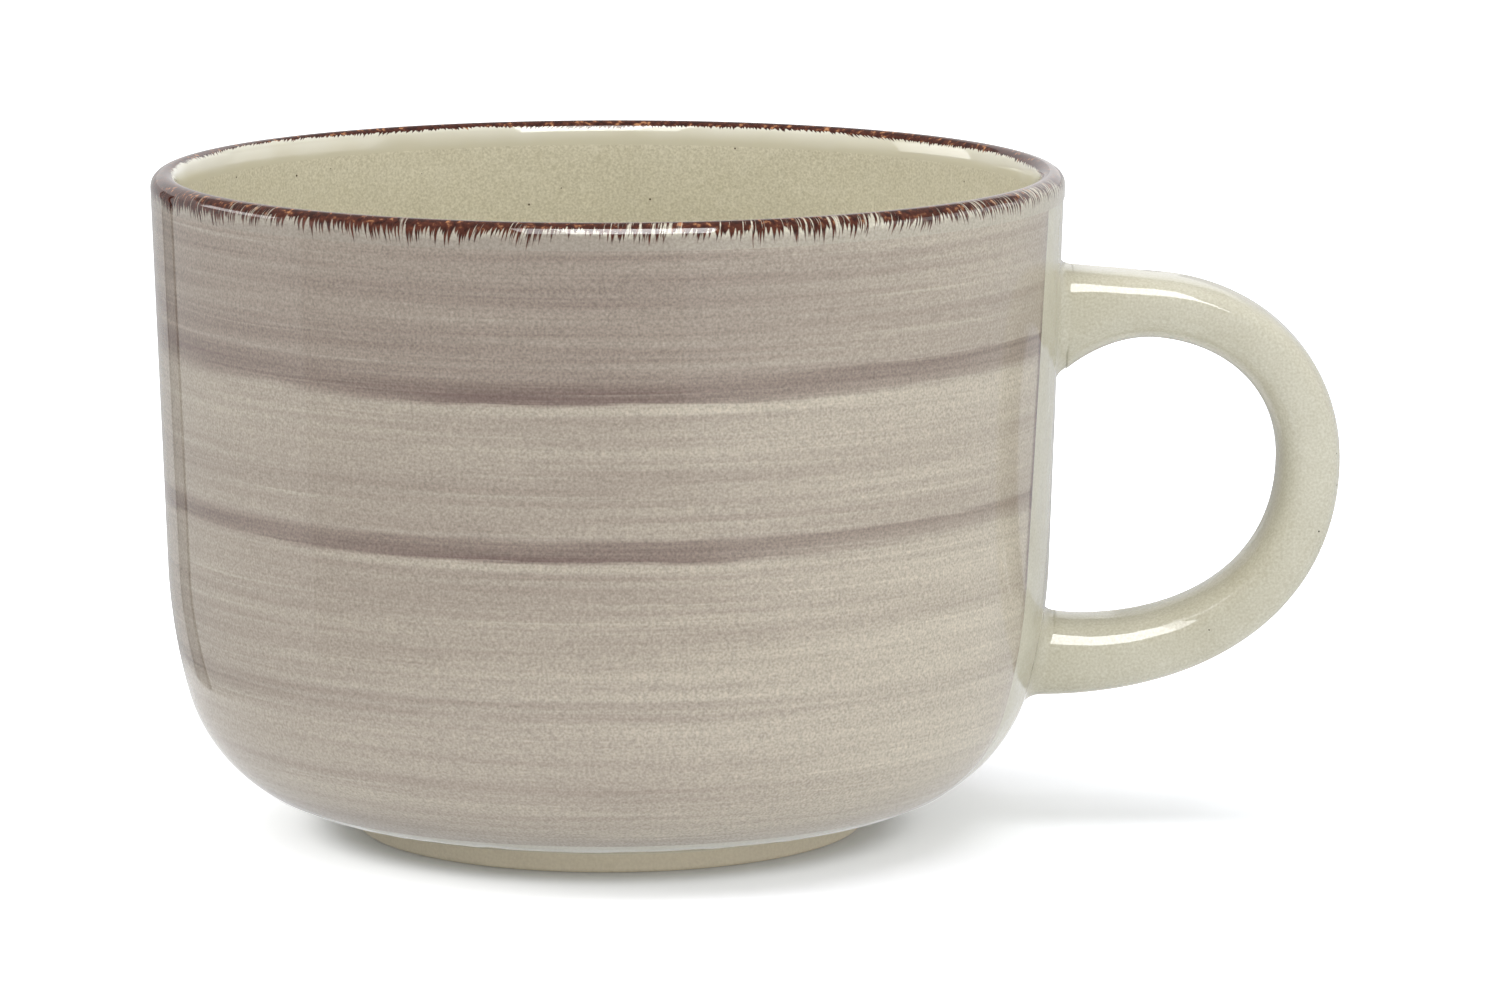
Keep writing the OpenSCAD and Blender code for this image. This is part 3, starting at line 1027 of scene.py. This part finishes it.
    # Painted light: the ground is paler towards the handle's side, as on the coat.
    lighter = add(
        "ShaderNodeMapRange",
        {
            "Value": handle_side,
            "From Max": coat_r * MM,
            "To Min": 1.0,
            "To Max": rim_paler_where_lit,
        },
    )
    ground = add("ShaderNodeMath", {0: ground, 1: lighter}, operation="MULTIPLY")
    ground = add(
        "ShaderNodeMixRGB",
        {"Fac": ground, "Color1": colour(rim_clay), "Color2": colour(coat_deep)},
    )
    grain = add(
        "ShaderNodeTexNoise", {"Vector": spot, "Scale": 1 / (grain_mm * MM), "Detail": 2.0}
    )
    grain = add(
        "ShaderNodeMapRange", {"Value": grain, "To Min": rim_grain[0], "To Max": rim_grain[1]}
    )
    ground = add(
        "ShaderNodeMixRGB", {"Fac": 1.0, "Color1": ground, "Color2": grain}, blend_type="MULTIPLY"
    )
    lining = add(
        "ShaderNodeMapRange",
        {"Value": over["Y"], "From Min": lining_run[0], "From Max": lining_run[1]},
    )
    # Painted light: a paler band just under the lip, with a wandering lower edge.
    thin = add(
        "ShaderNodeMapRange",
        {"Value": scrape, "To Min": -lit_band_varies, "To Max": lit_band_varies},
    )
    thin = add("ShaderNodeMath", {0: over["Y"], 1: thin}, operation="ADD")
    thin = add(
        "ShaderNodeMapRange",
        {"Value": thin, "From Min": lit_band_run[0], "From Max": lit_band_run[1]},
    )
    glaze = add(
        "ShaderNodeMixRGB",
        {"Fac": thin, "Color1": colour(lit_band_inside), "Color2": colour(cream_inside)},
    )
    ground = add("ShaderNodeMixRGB", {"Fac": lining, "Color1": ground, "Color2": glaze})

    # The brown itself, from iron that fires darker and warmer in spots.
    rust = add("ShaderNodeTexNoise", {"Vector": spot, "Scale": 1 / (rust_mm * MM), "Detail": 3.0})
    brown = add(
        "ShaderNodeMapRange", {"Value": rust, "From Min": rust_range[0], "From Max": rust_range[1]}
    )
    brown = add(
        "ShaderNodeMixRGB",
        {"Fac": brown, "Color1": colour(brown_deep), "Color2": colour(brown_warm)},
    )
    fleck = add(
        "ShaderNodeMapRange",
        {"Value": rust, "From Min": fleck_range[0], "From Max": fleck_range[1]},
    )
    crest = add(
        "ShaderNodeMapRange",
        {"Value": over["Y"], "From Min": fleck_run[0], "From Max": fleck_run[1]},
    )
    fleck = add("ShaderNodeMath", {0: fleck, 1: crest}, operation="MULTIPLY")
    brown = add("ShaderNodeMixRGB", {"Fac": fleck, "Color1": brown, "Color2": colour(fleck_tan)})
    paint = add("ShaderNodeMixRGB", {"Fac": stroke, "Color1": ground, "Color2": brown})
    glaze_over(material, paint)
    return material


outer_edge = lip_c + lip_r * polar(-wall_lean) - band_down * polar(90 - wall_lean)
inner_edge = outer_edge - wall_t * polar(-wall_lean)


def rim_face(inset):
    """The band's outside moved in by inset, up the wall, over the lip and down inside."""
    sink = inset * polar(-wall_lean)
    lip = lip_line(inset)
    rise = straight(outer_edge - sink, lip[0], band_steps)
    fall = straight(lip[-1], inner_edge + sink, band_steps)
    return np.vstack([rise[:-1], lip, fall[1:]])


rim_profile = film(rim_face(0), rim_face(film_t))
rim_band = turned_piece("rim_band_brown", rim_profile, brushed_rim(), segments=rim_segments)
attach(rim_band, "root")
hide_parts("rim_band")


# Liner glaze: the cream glaze poured into the cup and swilled round. It is a little yellower
# and thicker than the clear glaze outside, and shows the clay's dark specks.
end_share = 0.01  # of the last step: a second point this close to the edge keeps it flat


def inside_line(inset):
    """The inside from the middle of the floor up to the rim band, as an inset of the outside."""
    return np.vstack([base_line(inset)[:-1], side_line(inset, below_lip=band_down)])


liner_cream = glazed(
    "poured_cream_liner_glaze",
    "#E6E1CD",
    "#C6C0A8",
    "#5A4E3A",
    speck_share=0.4,
    grain_share=0.95,
)
liner_skin = inside_line(wall_t)
liner_back = inside_line(wall_t - film_t)
liner_end = liner_skin[-1] + end_share * (liner_skin[-2] - liner_skin[-1])
liner_profile = np.vstack([liner_back, liner_skin[-1:], [liner_end], liner_skin[-2::-1]])
liner = turned_piece("liner_glaze_cream", liner_profile, liner_cream)
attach(liner, "root")
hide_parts("liner_glaze")


# Studio: a pale floor that reads as white to the camera away from the cup and keeps the soft
# shadow near it, large soft lamps, and cards that only the glaze reflects.
# Places and sizes are in metres here, unless a name says otherwise.
contact_from_mm = 30.5  # the floor keeps its whole shadow at the foot
contact_to_mm = 39
lift_near = 0.35
lift_far = 1.0
lift_from_mm = 36
lift_to_mm = 66
shadow_centre = (28 * MM, -2 * MM, 0)
shadow_squeeze = (0.7, 1, 1)
under_cup_mm = (40, 60)  # in reflections the floor glows, with a painted shadow: dim under the cup, bright round it, dimmer further off
floor_shadow_in_glaze = 0.75
floor_round_cup = 0.97
further_off_mm = (95, 125)
floor_further_off = 0.55
floor_white = "#F5F8FD"


def studio_floor():
    """A pale matt floor, lifted to white for the camera away from the shadow. In reflections it
    glows instead, with a painted shadow under the cup.
    """
    material = new_material("pale_studio_floor")
    add = partial(add_node, material.node_tree)
    spot = add("ShaderNodeTexCoord").outputs["Object"]
    away = add("ShaderNodeVectorMath", {0: spot, 1: shadow_centre}, operation="SUBTRACT")
    away = add("ShaderNodeVectorMath", {0: away, 1: shadow_squeeze}, operation="MULTIPLY")
    away = add("ShaderNodeVectorMath", {0: away}, operation="LENGTH").outputs["Value"]
    lift = add(
        "ShaderNodeMapRange",
        {
            "Value": away,
            "From Min": lift_from_mm * MM,
            "From Max": lift_to_mm * MM,
            "To Min": lift_near,
            "To Max": lift_far,
        },
        interpolation_type="SMOOTHSTEP",
    )
    radius = add("ShaderNodeVectorMath", {0: spot}, operation="LENGTH").outputs["Value"]
    contact = add(
        "ShaderNodeMapRange",
        {"Value": radius, "From Min": contact_from_mm * MM, "From Max": contact_to_mm * MM},
        interpolation_type="SMOOTHSTEP",
    )
    lift = add("ShaderNodeMath", {0: lift, 1: contact}, operation="MULTIPLY")
    path = add("ShaderNodeLightPath").outputs
    lift = add("ShaderNodeMath", {0: path["Is Camera Ray"], 1: lift}, operation="MULTIPLY")
    paint = add("ShaderNodeBsdfDiffuse", {"Color": colour(floor_white)})
    glow = add("ShaderNodeEmission", {"Strength": lift})
    both = add("ShaderNodeAddShader", {0: paint, 1: glow})
    seen = add(
        "ShaderNodeMapRange",
        {
            "Value": radius,
            "From Min": under_cup_mm[0] * MM,
            "From Max": under_cup_mm[1] * MM,
            "To Min": floor_shadow_in_glaze,
            "To Max": floor_round_cup,
        },
    )
    seen = add(
        "ShaderNodeMapRange",
        {
            "Value": radius,
            "From Min": further_off_mm[0] * MM,
            "From Max": further_off_mm[1] * MM,
            "To Min": seen,
            "To Max": floor_further_off,
        },
    )
    mirrored = add("ShaderNodeEmission", {"Strength": seen})
    surface = add("ShaderNodeMixShader", {0: path["Is Glossy Ray"], 1: both, 2: mirrored})
    add("ShaderNodeOutputMaterial", {"Surface": surface})
    return material


def flat_sheet(name, corners, finish):
    """A flat four-cornered sheet that belongs to the studio."""
    mesh = bpy.data.meshes.new(name)
    mesh.from_pydata(corners, [], [(0, 1, 2, 3)])
    mesh.materials.append(finish)
    sheet = bpy.data.objects.new(name, mesh)
    bpy.context.scene.collection.objects.link(sheet)
    return sheet


floor_half = 4.0
floor_z = -0.02 * MM
flat_sheet(
    "floor",
    [(x * floor_half, y * floor_half, floor_z) for x, y in ((-1, -1), (1, -1), (1, 1), (-1, 1))],
    studio_floor(),
)


def reflected_card(name, corners, strength, front=None):
    """A card that shows only in glossy reflections and throws no light or shadow.
    It can brighten towards its front end."""
    material = new_material(name)
    add = partial(add_node, material.node_tree)
    if front:
        spot = add("ShaderNodeTexCoord").outputs["Object"]
        back_to_front = add("ShaderNodeSeparateXYZ", {"Vector": spot}).outputs["Y"]
        strength = add(
            "ShaderNodeMapRange",
            {
                "Value": back_to_front,
                "From Min": corners[0][1],
                "From Max": corners[1][1],
                "To Min": front,
                "To Max": strength,
            },
        )
    glow = add("ShaderNodeEmission", {"Strength": strength})
    add("ShaderNodeOutputMaterial", {"Surface": glow})
    sheet = flat_sheet(name, corners, material)
    sheet.visible_camera = False
    sheet.visible_diffuse = False
    sheet.visible_shadow = False


def upright(x, y_front, y_back, top):
    """Corners of an upright card that stands on the floor along Y."""
    return [(x, y_front, 0), (x, y_back, 0), (x, y_back, top), (x, y_front, top)]


# Near cards give the wall its edge tones, the windows give the highlights, and the far cards
# stand for the room.
reflected_card("left_front_card", upright(-0.086, -0.05, 0.0215, 0.09), 0.6, 0.9)
reflected_card("left_middle_card", upright(-0.086, 0.0245, 0.0405, 0.09), 0.3)
reflected_card("left_back_card", upright(-0.086, 0.0425, 0.45, 0.09), 0.6)
reflected_card("left_black_card", upright(-0.0865, 0.0, 0.06, 0.09), 0.0)
reflected_card("right_card", upright(0.10, -0.3, 0.5, 0.09), 0.6, 0.9)
reflected_card(
    "left_window",
    [(-0.6, 0.0, 0.1), (-0.6, 0.35, 0.1), (-0.6, 0.35, 0.34), (-0.6, 0.0, 0.34)],
    4.5,
)
reflected_card(
    "front_window",
    [(-0.11, -0.78, 0.55), (0.40, -0.78, 0.55), (0.22, -0.22, 0.72), (-0.11, -0.22, 0.72)],
    12.0,
)
reflected_card(
    "front_left_window",
    [(-0.28, -0.78, 0.55), (-0.11, -0.78, 0.55), (-0.11, -0.22, 0.72), (-0.19, -0.22, 0.72)],
    7.0,
)
reflected_card(
    "back_card", [(-1.6, 1.2, 0), (0.07, 1.2, 0), (0.07, 1.2, 0.75), (-1.6, 1.2, 0.75)], 0.8
)
reflected_card(
    "back_right_card", [(0.07, 1.2, 0), (1.6, 1.2, 0), (1.6, 1.2, 0.75), (0.07, 1.2, 0.75)], 1.06
)
reflected_card("left_wall_card", upright(-1.6, -0.6, 1.2, 0.9), 0.9)
reflected_card("right_wall_card", upright(1.6, -0.6, 1.2, 0.9), 2.0)

room_light = 0.44
room_in_glaze = 0.3
world = bpy.data.worlds.new("studio_white")
bpy.context.scene.world = world
world.use_nodes = True
world.node_tree.nodes.clear()
add = partial(add_node, world.node_tree)
path = add("ShaderNodeLightPath").outputs
strength = add(
    "ShaderNodeMapRange",
    {"Value": path["Is Glossy Ray"], "To Min": room_light, "To Max": room_in_glaze},
)
strength = add("ShaderNodeMath", {0: path["Is Camera Ray"], 1: strength}, operation="MAXIMUM")
sky = add("ShaderNodeBackground", {"Color": (1, 1, 1, 1), "Strength": strength})
add("ShaderNodeOutputWorld", {"Surface": sky})


def softbox(name, place, aim, width, height, power):
    """A large rectangular lamp that points at a place and stays out of view."""
    lamp = bpy.data.lights.new(name, "AREA")
    lamp.shape = "RECTANGLE"
    lamp.size = width
    lamp.size_y = height
    lamp.energy = power
    holder = bpy.data.objects.new(name, lamp)
    holder.location = place
    direction = Vector(aim) - Vector(place)
    holder.rotation_euler = direction.to_track_quat("-Z", "Y").to_euler()
    holder.visible_camera = False
    holder.visible_glossy = False
    bpy.context.scene.collection.objects.link(holder)


lamps = (  # name, place, aim, width, height and power in watts
    ("key_softbox", (-0.05, -0.9, 0.55), (0, 0, 0.04), 0.6, 0.45, 0.7),
    ("overhead_softbox", (-0.03, -0.05, 0.8), (0, 0, 0.04), 1.0, 0.4, 5.3),
    ("front_softbox", (0.25, -1.1, 0.12), (0, 0, 0.03), 0.8, 0.24, 2.4),
    ("right_softbox", (0.8, -0.7, 0.3), (0, 0, 0.04), 0.5, 0.5, 0.3),
    ("handle_softbox", (0.8, 0.25, 0.2), (0.05, 0, 0.05), 0.4, 0.3, 0.55),
    ("left_softbox", (-0.7, 0.1, 0.35), (0, 0, 0.06), 0.4, 0.3, 1.0),
)
for lamp in lamps:
    softbox(*lamp)


# Camera: a long lens a little above the cup, at the photograph's angle, and the plain view
# transform that keeps the colours as they are given.
camera_tilt = 80.66
camera_data = bpy.data.cameras.new("camera")
camera_data.sensor_width = 36
camera_data.lens = 167.7
camera = bpy.data.objects.new("camera", camera_data)
camera.location = (0.01706, -0.8365, 0.1771)
camera.rotation_euler = (math.radians(camera_tilt), 0, 0)
bpy.context.scene.collection.objects.link(camera)
bpy.context.scene.camera = camera
bpy.context.scene.view_settings.view_transform = "Standard"
